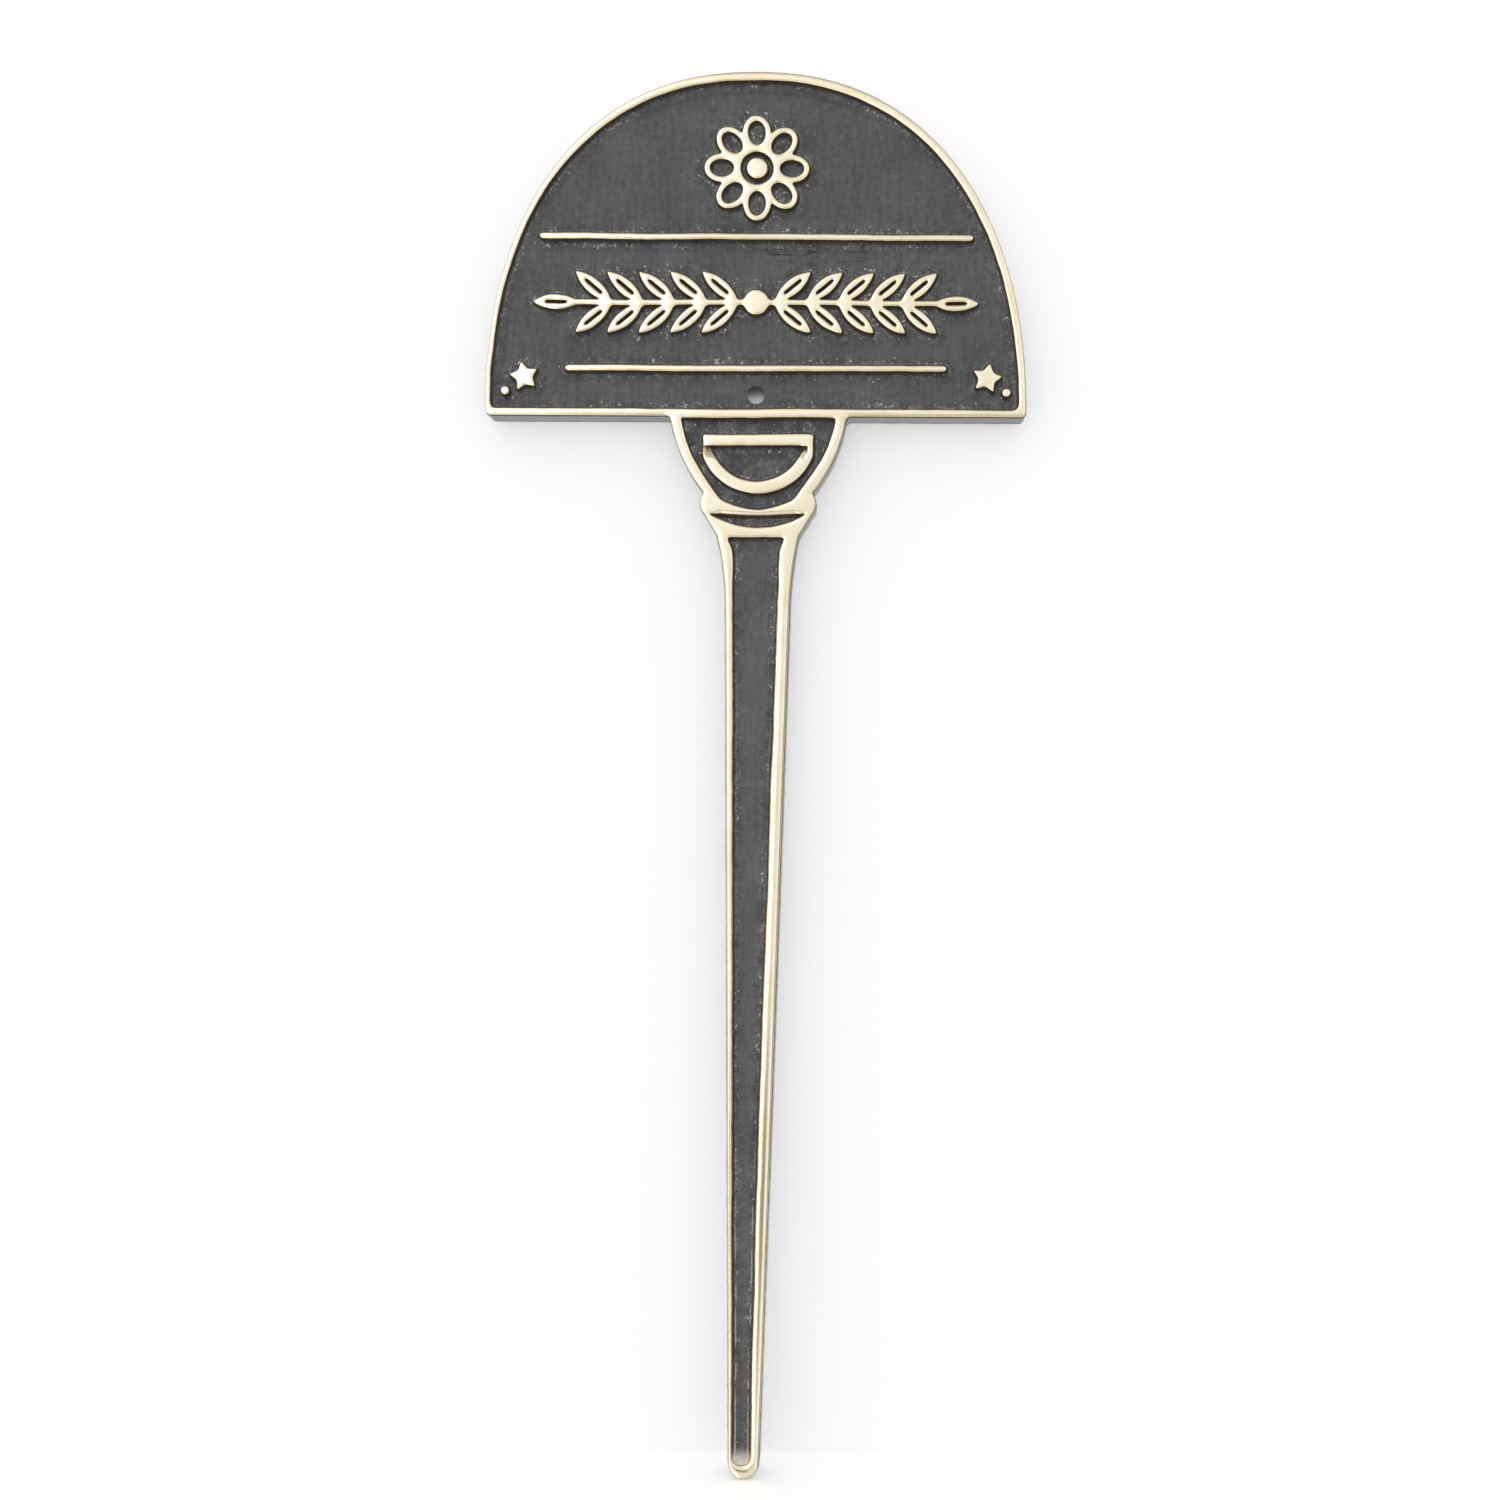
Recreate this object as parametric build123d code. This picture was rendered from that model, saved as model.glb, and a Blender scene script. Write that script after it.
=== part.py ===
"""Plant label stake: one brass casting with black paint in its recesses, on its sides and on its back.

Frame: +Z up along the stake, front towards -Y, origin at the middle of the stem's tip. Millimetres.
Outlines are drawn flat, with x from the middle of the plate and y up from the tip, and then stood up.
"""

import math
import os

from build123d import *

# Overall
overall_height = 250.0
casting_thickness = 6.0
recess_depth = 1.2
tip_lean = 1.3  # the tip lies this far left of the middle of the plate

# Paint
pool_film = 0.2
coat_film = 0.15
wiped_edge = 0.9  # bare brass left on the sides behind the polished front

# Plate
plate_half_width = 48.05
plate_height = 61.0
crown_power = 2.25  # 2 would be an ellipse
plate_corner_r = 0.8
side_rim = 1.15
crown_rim = 1.5
field_lean = 0.25  # the sunk field lies this far left of the middle
base_bar = 1.2
field_corner_r = 0.9
front_round_r = 0.35

# Rules across the plate: heights above the plate's base, and gaps left at the plate's sides
rule_width = 1.15
upper_rule_height = 31.7
upper_rule_gap = 9.45
lower_rule_height = 8.35
lower_rule_gap = 14.05

# Rosette in the crown of the plate, sized by the room between the upper rule and the rim
rosette_room = plate_height - crown_rim - upper_rule_height - rule_width / 2
rosette_drop = crown_rim + 0.573 * rosette_room  # below the top of the plate
petal_count = 8
petal_centre_r = 0.23 * rosette_room
petal_length = 0.235 * rosette_room
petal_width = 0.187 * rosette_room
petal_wall = 1.05
eye_r = 0.15 * rosette_room
eye_groove_outer_r = 0.106 * rosette_room
eye_groove_inner_r = 0.07 * rosette_room

# Leaf band between the rules
band_gap = 8.2  # left at the plate's sides
leaf_pitch = 5.6
first_leaf = 3.2
leaf_length = 8.6
leaf_width = 2.75
leaf_angle = 40.0
vein_length = 4.2
vein_width = 0.5
twig_width = 1.0
band_boss_r = 2.3

# Stars and dots in the plate's lower corners
star_inset = 6.95
star_height = 6.8
star_outer_r = 2.9
star_inner_r = 1.5
star_points = 5
star_tilt = 11.0  # of the left star, anticlockwise
dot_inset = 3.55
dot_height = 4.3
dot_r = 0.85

# Dimple above the middle of the base bar
dimple_height = 3.75
dimple_r = 1.7
dimple_depth = 0.9

# Cup, widths from its own middle and drops below the plate's base
cup_lean = 0.45  # the cup, the collar and the stem's top lie this far right of the middle of the plate
cup_top_half = 15.7
cup_belly_half = 13.95
cup_belly_drop = 6.4
waist_half = 9.55
waist_drop = 13.8
cup_rim = 1.95
junction_r = 1.0
cup_field_drop = 0.45
cup_foot_half = 6.8
cup_foot_drop = 15.0
cup_bottom_drop = 16.7

# D moulding in the cup
d_top_drop = 3.3
d_centre_drop = 3.86
d_r = 9.84
d_band = 2.1

# Collar
collar_r = 0.6
bead_half = 10.3
bead_drop = 15.6
flank_half = 9.6
flank_drop = 17.4
neck_half = 7.2
neck_drop = 21.4
slot_half = 8.6
slot_tip_drop = 17.45
slot_top_drop = 17.95
slot_bottom_drop = 19.9

# Stem
stem_half = 5.7
stem_drop = 33.6
tip_half = 2.7
toe_height = 2.0  # the tip draws in below this
toe_half = 1.2
toe_r = 0.9
shoulder_r = 1.8
stem_rim = 1.7
tip_rim = 1.0
channel_top_drop = 21.75
channel_top_half = 5.0
channel_end = 2.5  # above the tip
channel_end_r = 1.3
channel_lean = 0.3  # the channel lies this far left of the middle of the stem

crown_steps = 24
same_place = 1e-3
floor_depth = casting_thickness - recess_depth
base = overall_height - plate_height  # the plate's lower edge
rosette_middle = overall_height - rosette_drop
band_height = (upper_rule_height + lower_rule_height) / 2
leaf_pairs = int((plate_half_width - band_gap - first_leaf - leaf_length) / leaf_pitch)
band_end = first_leaf + leaf_pairs * leaf_pitch  # where the last leaf grows from


def mirrored(edges):
    """Edges on the right-hand side together with their mirror images."""
    return edges + mirror(edges, Plane.YZ)


def crown(half_width, height, foot):
    """The plate's round-topped edge, from its right-hand foot over to its left-hand one."""
    points = []
    for step in range(crown_steps + 1):
        angle = math.pi * step / crown_steps
        across, up = math.cos(angle), abs(math.sin(angle))
        x = half_width * math.copysign(abs(across) ** (2 / crown_power), across)
        points.append((x, foot + height * up ** (2 / crown_power)))
    return Spline(points, tangents=[(0, 1), (0, -1)])


def block(half_width, low, high):
    """A rectangle about the middle, from one height to another."""
    return Pos(0, (low + high) / 2) * Rectangle(2 * half_width, high - low)


def bar(half_length, width, height):
    """A round-ended bar across the plate."""
    return Pos(0, base + height) * SlotOverall(2 * half_length, width)


def stem_side(top_half, top_drop, half, end_half, end, side):
    """One side of the stem: a hollow curve that runs into a straight taper."""
    top = (side * top_half + cup_lean, base - top_drop)
    knee = (side * half + cup_lean, base - stem_drop)
    foot = (side * end_half - tip_lean, end)
    taper = Line(foot, knee)
    return taper + TangentArc(knee, top, tangent=taper % 1)


def stem_sides(top_half, top_drop, half, end_half, end):
    """Both sides of the stem, or of its channel."""
    left = stem_side(top_half, top_drop, half, end_half, end, -1)
    return left + stem_side(top_half, top_drop, half, end_half, end, 1)


def rounded(face, middle, half_width, height, corner_r):
    """A shape with the corners at one height, left and right of a middle, rounded."""
    corners = [
        corner
        for corner in face.vertices()
        if abs(corner.Y - height) < same_place and abs(abs(corner.X - middle) - half_width) < same_place
    ]
    return fillet(corners, corner_r)


def outline(grow):
    """The whole outline, grown all round by a film's thickness."""
    foot = base - grow
    plate_half, cup_half = plate_half_width + grow, cup_top_half + grow
    stem_end, toe_end = tip_half + grow, toe_half + grow
    waist = (waist_half + grow, base - waist_drop)
    flank_top = (flank_half + grow, base - flank_drop)
    neck = (neck_half + grow, base - neck_drop)
    side = ThreePointArc((cup_half, foot), (cup_belly_half + grow, base - cup_belly_drop), waist)
    side += ThreePointArc(waist, (bead_half + grow, base - bead_drop), flank_top)
    side += Line(flank_top, neck)
    edges = crown(plate_half, plate_height + 2 * grow, foot) + Pos(cup_lean, 0) * mirrored(side)
    edges += Line((-plate_half, foot), (cup_lean - cup_half, foot))
    edges += Line((cup_lean + cup_half, foot), (plate_half, foot))
    edges += stem_sides(neck_half + grow, neck_drop, stem_half + grow, stem_end, toe_height)
    edges += Polyline(
        (-stem_end - tip_lean, toe_height),
        (-toe_end - tip_lean, -grow),
        (toe_end - tip_lean, -grow),
        (stem_end - tip_lean, toe_height),
    )
    face = rounded(make_face(edges), -tip_lean, toe_end, -grow, toe_r + grow)
    face = rounded(face, -tip_lean, stem_end, toe_height, shoulder_r + grow)
    face = rounded(face, 0, plate_half, foot, plate_corner_r + grow)
    for half_width, y in (waist, flank_top, neck):
        face = rounded(face, cup_lean, half_width, y, collar_r)
    return rounded(face, cup_lean, cup_half, foot, junction_r - grow)


def plate_field():
    """The sunk field of the plate, inside its rim and above its base bar."""
    half_width = plate_half_width - side_rim
    edge = crown(half_width, plate_height - crown_rim, base)
    inner = make_face(edge + Line((-half_width, base), (half_width, base)))
    field = inner & block(plate_half_width, base + base_bar, overall_height)
    return Pos(-field_lean, 0) * fillet(field.vertices().sort_by(Axis.Y)[:2], field_corner_r)


def petals(shrink):
    """The rosette's ring of oval petals, each drawn in by the same amount."""
    petal = Ellipse(petal_length / 2 - shrink, petal_width / 2 - shrink)
    ring = PolarLocations(petal_centre_r, petal_count)
    return Sketch() + [Pos(0, rosette_middle) * place * petal for place in ring]


def rosette_eye():
    """The round middle of the rosette."""
    return Pos(0, rosette_middle) * Circle(eye_r)


def rosette_cells():
    """The closed cells of the rosette: one in each petal, and a ring in its eye."""
    ring = Circle(eye_groove_outer_r) - Circle(eye_groove_inner_r)
    return petals(petal_wall) - rosette_eye() + Pos(0, rosette_middle) * ring


def leaf_places():
    """Where each leaf of the band grows from: a place with its x axis along the leaf."""
    middle = base + band_height
    places = []
    for pair in range(leaf_pairs):
        root = first_leaf + pair * leaf_pitch
        places += [Pos(root, middle) * Rot(0, 0, turn) for turn in (leaf_angle, -leaf_angle)]
        places += [Pos(-root, middle) * Rot(0, 0, 180 - turn) for turn in (leaf_angle, -leaf_angle)]
    return places + [Pos(band_end, middle), Pos(-band_end, middle) * Rot(0, 0, 180)]


def leaf():
    """One pointed leaf along +x, between two equal arcs."""
    upper = ThreePointArc((0, 0), (leaf_length / 2, leaf_width / 2), (leaf_length, 0))
    lower = ThreePointArc((0, 0), (leaf_length / 2, -leaf_width / 2), (leaf_length, 0))
    return make_face(upper + lower)


def leaf_band():
    """The leaves with the twig that carries them and the boss at its middle."""
    twig = bar(band_end + twig_width, twig_width, band_height)
    boss = Pos(0, base + band_height) * Circle(band_boss_r)
    return twig + boss + [place * leaf() for place in leaf_places()]


def leaf_veins():
    """The short groove along the middle of each leaf."""
    vein = Pos(leaf_length / 2, 0) * SlotOverall(vein_length, vein_width)
    return Sketch() + [place * vein for place in leaf_places()]


def stars_and_dots():
    """A five-pointed star and a dot in each lower corner, mirror images of each other."""
    corners = []
    for step in range(2 * star_points):
        angle = math.pi * step / star_points
        reach = star_inner_r if step % 2 else star_outer_r
        corners.append((reach * math.sin(angle), reach * math.cos(angle)))
    star = make_face(Polyline(corners, close=True))
    marks = Sketch()
    for side in (-1, 1):
        place = Pos(side * (plate_half_width - star_inset), base + star_height)
        marks += place * Rot(0, 0, -side * star_tilt) * star
        marks += Pos(side * (plate_half_width - dot_inset), base + dot_height) * Circle(dot_r)
    return marks


def plate_relief():
    """All the raised work on the plate, without the closed cells in it."""
    rules = bar(plate_half_width - upper_rule_gap, rule_width, upper_rule_height)
    rules += bar(plate_half_width - lower_rule_gap, rule_width, lower_rule_height)
    return rules + petals(0) + rosette_eye() + leaf_band() + stars_and_dots()


def d_outer():
    """The outer edge of the D moulding, flat side up."""
    top, centre = base - d_top_drop, base - d_centre_drop
    path = Line((-d_r, centre), (-d_r, top)) + Line((-d_r, top), (d_r, top)) + Line((d_r, top), (d_r, centre))
    path += ThreePointArc((d_r, centre), (0, centre - d_r), (-d_r, centre))
    return Pos(cup_lean, 0) * make_face(path)


def d_panel():
    """The sunk panel inside the D moulding."""
    disc = Pos(0, base - d_centre_drop) * Circle(d_r - d_band)
    return Pos(cup_lean, 0) * (disc & block(d_r, base - d_centre_drop - d_r, base - d_top_drop - d_band))


def cup_field():
    """The sunk field of the cup."""
    side = ThreePointArc(
        (cup_top_half - cup_rim, base - cup_field_drop),
        (cup_belly_half - cup_rim, base - cup_belly_drop),
        (cup_foot_half, base - cup_foot_drop),
    )
    top_half = cup_top_half - cup_rim
    top = Line((-top_half, base - cup_field_drop), (top_half, base - cup_field_drop))
    foot = ThreePointArc(
        (-cup_foot_half, base - cup_foot_drop),
        (0, base - cup_bottom_drop),
        (cup_foot_half, base - cup_foot_drop),
    )
    return Pos(cup_lean, 0) * make_face(mirrored(side) + top + foot)


def collar_slot():
    """The crescent slot across the collar."""
    left, right = (-slot_half, base - slot_tip_drop), (slot_half, base - slot_tip_drop)
    upper = ThreePointArc(left, (0, base - slot_top_drop), right)
    slot = make_face(upper + ThreePointArc(left, (0, base - slot_bottom_drop), right))
    return Pos(cup_lean, 0) * slot


def stem_channel():
    """The long channel of the stem."""
    top, end_half = base - channel_top_drop, tip_half - tip_rim
    edges = stem_sides(channel_top_half, channel_top_drop, stem_half - stem_rim, end_half, channel_end)
    edges += Line((cup_lean - channel_top_half, top), (cup_lean + channel_top_half, top))
    edges += Line((-end_half - tip_lean, channel_end), (end_half - tip_lean, channel_end))
    channel = rounded(make_face(edges), -tip_lean, end_half, channel_end, channel_end_r)
    return Pos(-channel_lean, 0) * channel


def slab(sketch, low, high):
    """A flat shape stood up and made solid between two depths, counted forward from the casting's back."""
    plane = Plane(
        origin=(tip_lean, casting_thickness / 2 - low, 0), x_dir=(1, 0, 0), z_dir=(0, -1, 0)
    )
    return extrude(plane * sketch, high - low)


def dimple(film):
    """The ball that presses the dimple into the field, or into the paint on it."""
    ball_r = (dimple_r**2 + dimple_depth**2) / (2 * dimple_depth)
    depth = floor_depth - dimple_depth + ball_r
    place = Pos(tip_lean, casting_thickness / 2 - depth, base + dimple_height)
    return place * Sphere(ball_r - film)


def brass_casting(pools):
    """The casting: the whole outline, less every recess, with its front edge rounded."""
    body = slab(outline(0), 0, casting_thickness)
    front = body.faces().sort_by(Axis.Y)[0]
    body = fillet(front.edges(), front_round_r)
    for pool in pools:
        body -= slab(pool, floor_depth, casting_thickness)
    return body - dimple(0)


def film(pool):
    """The paint on the floor of a recess."""
    return slab(pool, floor_depth, floor_depth + pool_film)


def plate_film(pool):
    """The paint on the plate, which follows the dimple down."""
    return film(pool) + (slab(pool, 0, floor_depth) & dimple(0)) - dimple(pool_film)


def edge_and_back_paint():
    """The coat on the back and the sides, wiped off short of the front."""
    return slab(outline(coat_film), -coat_film, casting_thickness - wiped_edge) - slab(
        outline(0), 0, casting_thickness
    )


plate_pool = plate_field() - plate_relief()
pools = {
    "rosette_paint": rosette_cells(),
    "leaf_vein_paint": leaf_veins(),
    "cup_paint": cup_field() - d_outer(),
    "d_panel_paint": d_panel(),
    "collar_paint": collar_slot(),
    "stem_paint": stem_channel(),
}
nodes = {name: film(pool) for name, pool in pools.items()}
nodes["plate_paint"] = plate_film(plate_pool)
nodes["brass_casting"] = brass_casting([plate_pool, *pools.values()])
nodes["edge_and_back_paint"] = edge_and_back_paint()

os.makedirs("parts", exist_ok=True)
for name, solid in nodes.items():
    export_step(solid, f"parts/{name}.step")
    print(name, len(solid.solids()), round(solid.volume, 1))
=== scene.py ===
import math

import bpy
import numpy as np
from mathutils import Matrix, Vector, kdtree
from mathutils.geometry import delaunay_2d_cdt


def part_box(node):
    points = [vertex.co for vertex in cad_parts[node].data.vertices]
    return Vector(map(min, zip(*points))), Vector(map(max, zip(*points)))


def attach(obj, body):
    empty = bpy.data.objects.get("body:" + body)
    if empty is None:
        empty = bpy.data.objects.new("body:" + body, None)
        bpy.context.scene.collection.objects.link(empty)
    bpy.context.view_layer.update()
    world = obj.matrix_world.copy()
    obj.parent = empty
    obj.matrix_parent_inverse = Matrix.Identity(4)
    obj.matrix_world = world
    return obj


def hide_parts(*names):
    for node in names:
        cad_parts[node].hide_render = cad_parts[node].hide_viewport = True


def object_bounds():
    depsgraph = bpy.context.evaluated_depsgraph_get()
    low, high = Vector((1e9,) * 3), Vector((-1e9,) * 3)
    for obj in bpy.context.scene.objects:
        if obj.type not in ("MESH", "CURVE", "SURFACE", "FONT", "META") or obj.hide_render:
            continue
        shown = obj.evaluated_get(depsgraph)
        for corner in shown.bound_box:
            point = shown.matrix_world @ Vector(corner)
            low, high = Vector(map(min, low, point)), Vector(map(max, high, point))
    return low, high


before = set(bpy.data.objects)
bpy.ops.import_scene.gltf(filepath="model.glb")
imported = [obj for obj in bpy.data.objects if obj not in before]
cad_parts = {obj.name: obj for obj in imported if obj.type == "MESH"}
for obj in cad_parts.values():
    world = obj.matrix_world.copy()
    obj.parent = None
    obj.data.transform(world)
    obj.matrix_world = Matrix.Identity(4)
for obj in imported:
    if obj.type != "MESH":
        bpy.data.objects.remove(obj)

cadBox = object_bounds()

# Shapes are in millimetres, with depth counted forward from the casting's back face. The stage is in metres.
perMetre = 1000.0
levelSlack = 0.002  # depths closer than this are one level
farAway = 1e3  # more than any distance on the stake
castLow, castHigh = (np.array(corner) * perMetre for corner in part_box("brass_casting"))
poolLow, poolHigh = (np.array(corner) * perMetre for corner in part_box("stem_paint"))
coatLow, coatHigh = (np.array(corner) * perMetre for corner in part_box("edge_and_back_paint"))
frontDepth = castHigh[1] - castLow[1]
floorDepth = castHigh[1] - poolHigh[1]
filmDepth = castHigh[1] - poolLow[1]
lipDepth = castHigh[1] - coatLow[1]
coatDepth = castHigh[1] - coatHigh[1]


# Outlines read from the frame

def flatLoops(node, depth):  # closed edges of a node's flat faces at one depth, metal on the left
    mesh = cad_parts[node].data
    flat = np.array([vertex.co for vertex in mesh.vertices]) * perMetre
    level = np.abs(castHigh[1] - flat[:, 1] - depth) < levelSlack
    spot = [tuple(pair) for pair in np.round(flat[:, [0, 2]], 4).tolist()]
    runs = set()
    for face in mesh.polygons:
        corners = list(face.vertices)
        if all(level[i] for i in corners):
            if face.normal.y > 0:  # seen from behind, so it runs the other way
                corners.reverse()
            runs |= {(spot[a], spot[b]) for a, b in zip(corners, corners[1:] + corners[:1])}
    following = {a: b for a, b in sorted(runs) if (b, a) not in runs}
    loops = []
    while following:
        loop = [min(following)]
        while loop[-1] in following:
            loop.append(following.pop(loop[-1]))
        loops.append(np.array(loop[:-1]))
    return loops


def unit(vectors):
    return vectors / np.maximum(np.linalg.norm(vectors, axis=1), 1e-9)[:, None]


def evenLoop(loop, spacing):  # the same closed line in even steps
    closed = np.vstack([loop, loop[:1]])
    along = np.concatenate([[0], np.cumsum(np.linalg.norm(np.diff(closed, axis=0), axis=1))])
    count = max(12, round(along[-1] / spacing))
    at = np.arange(count) * along[-1] / count
    return np.stack([np.interp(at, along, closed[:, axis]) for axis in (0, 1)], axis=1)


def smoothLoop(loop, spacing, sharpTurn=math.radians(32), straightRatio=3.0):
    ahead = np.roll(loop, -1, axis=0) - loop
    length = np.linalg.norm(ahead, axis=1)
    heading = unit(ahead)
    before, lengthBefore = np.roll(heading, 1, axis=0), np.roll(length, 1)
    tangent = unit(before * length[:, None] + heading * lengthBefore[:, None])
    tangent = np.where((lengthBefore > straightRatio * length)[:, None], before, tangent)
    tangent = np.where((length > straightRatio * lengthBefore)[:, None], heading, tangent)
    sharp = (heading * before).sum(axis=1) < math.cos(sharpTurn)
    line = []
    for i in range(len(loop)):
        j = (i + 1) % len(loop)
        leave = (heading[i] if sharp[i] else tangent[i]) * length[i]
        arrive = (heading[i] if sharp[j] else tangent[j]) * length[i]
        t = np.linspace(0, 1, max(2, math.ceil(length[i] / spacing)), endpoint=False)[:, None]
        line.append(
            loop[i] * (1 - t) ** 2 * (1 + 2 * t) + loop[j] * t**2 * (3 - 2 * t)
            + leave * t * (1 - t) ** 2 - arrive * t**2 * (1 - t)
        )
    return evenLoop(np.vstack(line), spacing)


def leftOf(loop):  # unit normals to the left of a closed line's run
    run = unit(np.roll(loop, -1, axis=0) - loop)
    run = run + np.roll(run, 1, axis=0)
    return unit(np.stack([-run[:, 1], run[:, 0]], axis=1))


def softened(loop, rounds):  # corners worn round
    for _ in range(rounds):
        loop = (np.roll(loop, 1, axis=0) + 2 * loop + np.roll(loop, -1, axis=0)) / 4
    return loop


class EdgeField:  # signed distance to closed lines, positive on their left
    def __init__(self, loops):
        self.points = np.vstack(loops)
        self.normals = np.vstack([leftOf(loop) for loop in loops])
        ends = np.cumsum([len(loop) for loop in loops])
        starts = ends - [len(loop) for loop in loops]
        ranges = [np.arange(a, b) for a, b in zip(starts, ends)]
        self.before = np.concatenate([np.roll(ids, 1) for ids in ranges])
        self.after = np.concatenate([np.roll(ids, -1) for ids in ranges])
        self.tree = kdtree.KDTree(len(self.points))
        for i, (x, z) in enumerate(self.points.tolist()):
            self.tree.insert((x, z, 0), i)
        self.tree.balance()

    def distance(self, places):
        nearest = np.array([self.tree.find((x, z, 0))[1] for x, z in places.tolist()])
        best, side = np.full(len(places), 1e9), np.zeros(len(places))
        for a, b in ((self.before[nearest], nearest), (nearest, self.after[nearest])):
            run = self.points[b] - self.points[a]
            share = ((places - self.points[a]) * run).sum(axis=1) / (run**2).sum(axis=1)
            away = places - self.points[a] - np.clip(share, 0, 1)[:, None] * run
            gap = np.linalg.norm(away, axis=1)
            onRun = run[:, 0] * away[:, 1] - run[:, 1] * away[:, 0]
            atCorner = (away * self.normals[nearest]).sum(axis=1)
            lean = np.where((share > 0) & (share < 1), onRun, atCorner)
            closer = gap < best
            best, side = np.where(closer, gap, best), np.where(closer, lean, side)
        return np.copysign(best, side)


# Unevenness of a hand-finished casting

def scatter(cellX, cellZ, seed):  # a steady random number from 0 to 1 for each cell
    mixed = cellX * 374761393 + cellZ * 668265263 + seed * 974711
    mixed = (mixed ^ (mixed >> 13)) * 1274126177
    return ((mixed ^ (mixed >> 16)) & 65535) / 65535


def ripple(places, size, seed):  # smooth waves from -1 to 1, about this long
    turn = seed * 0.7
    x = (places[:, 0] * math.cos(turn) - places[:, 1] * math.sin(turn)) / size
    z = (places[:, 0] * math.sin(turn) + places[:, 1] * math.cos(turn)) / size
    cellX, cellZ = np.floor(x).astype(np.int64), np.floor(z).astype(np.int64)
    easeX, easeZ = (part * part * (3 - 2 * part) for part in (x - cellX, z - cellZ))
    rows = [
        scatter(cellX, cellZ + step, seed) * (1 - easeX) + scatter(cellX + 1, cellZ + step, seed) * easeX
        for step in (0, 1)
    ]
    return (rows[0] * (1 - easeZ) + rows[1] * easeZ) * 2 - 1


def pock(places, pitch, reach, share, seed):  # round spots, 1 in their middle, in a share of the cells
    cell = np.floor(places / pitch).astype(np.int64)
    spots = np.zeros(len(places))
    for stepX in (-1, 0, 1):
        for stepZ in (-1, 0, 1):
            cellX, cellZ = cell[:, 0] + stepX, cell[:, 1] + stepZ
            aside, above = (scatter(cellX, cellZ, seed + step) for step in (0, 1))
            middle = np.stack([cellX + aside, cellZ + above], axis=1)
            radius = reach * (0.5 + 0.5 * scatter(cellX, cellZ, seed + 2))
            gap = np.linalg.norm(places - middle * pitch, axis=1) / radius
            shown = scatter(cellX, cellZ, seed + 3) < share
            spots = np.maximum(spots, shown * np.clip(1 - gap**2, 0, 1))
    return spots


def eased(values, low, high):  # 0 at low, 1 at high, smooth between
    share = np.clip((values - low) / (high - low), 0, 1)
    return share * share * (3 - 2 * share)


handwork = {
    "spacing": 0.24,  # step along every recess edge
    "outerSpacing": 0.3,  # and along the outer edge
    "cornerRounds": 4,  # how far sharp corners are worn
    "waves": ((11.0, 0.1), (2.3, 0.04), (1.1, 0.018)),  # length and reach of the edges' waver
    "waveSeeds": (20, 25),  # of the waver across and of the one up
    "toe": 3.0,  # the tip of the stake is worn round below this
    "panel": (1.075, 1.015, -0.15),  # the D is cast fuller: its inner edge across, down and moved aside
    "ring": (1.063, 1.03, 0.0),  # and its outer edge
    "barSlack": 0.05,  # edges up to this far above the foot of the bar go with the ring
    "cup": (0.4, 0.65),  # the field round it is drawn in, on its left and on its right
    "cupDrop": (0.5, 8.0),  # below the bar, from the start of that to its full reach
    "cupMiddle": 3.0,  # and less than the full reach this near to the middle
    "pinch": (0.5, 0.2, 2.2, 10.0),  # the channel narrows: reach, and the drops of its start, waist and end
    # how much wider the right rim of the stem is, at these heights
    "rightRim": ((3, 0.1), (9, 0.22), (20, 0.52), (85, 0.58), (104, 0.3), (136, 0.3), (158, 0.1)),
}
panelLow, panelHigh = (np.array(corner)[[0, 2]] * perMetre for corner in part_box("d_panel_paint"))
panelMiddle, panelHalf = (panelLow[0] + panelHigh[0]) / 2, (panelHigh[0] - panelLow[0]) / 2


def fuller(line, across, down, aside):  # an edge of the D below its bar
    below = line[:, 1] < panelHigh[1] + handwork["barSlack"]
    reach = max(np.ptp(line[:, 0]) / 2, panelHalf * across)
    x = panelMiddle + np.clip((line[:, 0] - panelMiddle) * across, -reach, reach) + aside
    z = panelHigh[1] + (line[:, 1] - panelHigh[1]) * down
    return np.where(below[:, None], np.stack([x, z], axis=1), line)


def drawnIn(line):  # the lower sides of the cup's field
    share = eased(panelHigh[1] - line[:, 1], *handwork["cupDrop"]) * np.sign(panelMiddle - line[:, 0])
    inward = np.where(share > 0, *handwork["cup"]) * share
    inward *= eased(np.abs(line[:, 0] - panelMiddle), 0, handwork["cupMiddle"])
    return line + np.stack([inward, 0 * inward], axis=1)


def narrowed(line):  # the channel of the stem, whose right rim is the wider one
    x, z = line.T
    drop, (reach, start, waist, end) = poolHigh[2] - z, handwork["pinch"]
    pinch = reach * eased(drop, start, waist) * (1 - eased(drop, waist, end))
    middle = np.interp(z, [z.min(), z.max()], [x[z.argmin()], (x.min() + x.max()) / 2])
    right = np.interp(z, *zip(*handwork["rightRim"]))
    return np.stack([x + np.where(x > middle, -pinch - right, pinch), z], axis=1)


def handmade(loop):
    line = smoothLoop(loop, handwork["spacing"])
    if loop is channelLoop:
        line = narrowed(line)
    if loop is cupLoop:
        line = drawnIn(line)
    for key, moulding in (("panel", panelLoop), ("ring", ringLoop)):
        if loop is moulding:
            line = fuller(line, *handwork[key])
    loop = softened(evenLoop(line, handwork["spacing"]), handwork["cornerRounds"])
    waver = [
        sum(reach * ripple(loop, size, seed + step) for step, (size, reach) in enumerate(handwork["waves"]))
        for seed in handwork["waveSeeds"]
    ]
    return loop + np.stack(waver, axis=1)


def panelGap(loop):  # how far a loop's box is from that of the D's panel
    return np.abs(loop.min(axis=0) - panelLow).sum() + np.abs(loop.max(axis=0) - panelHigh).sum()


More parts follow.
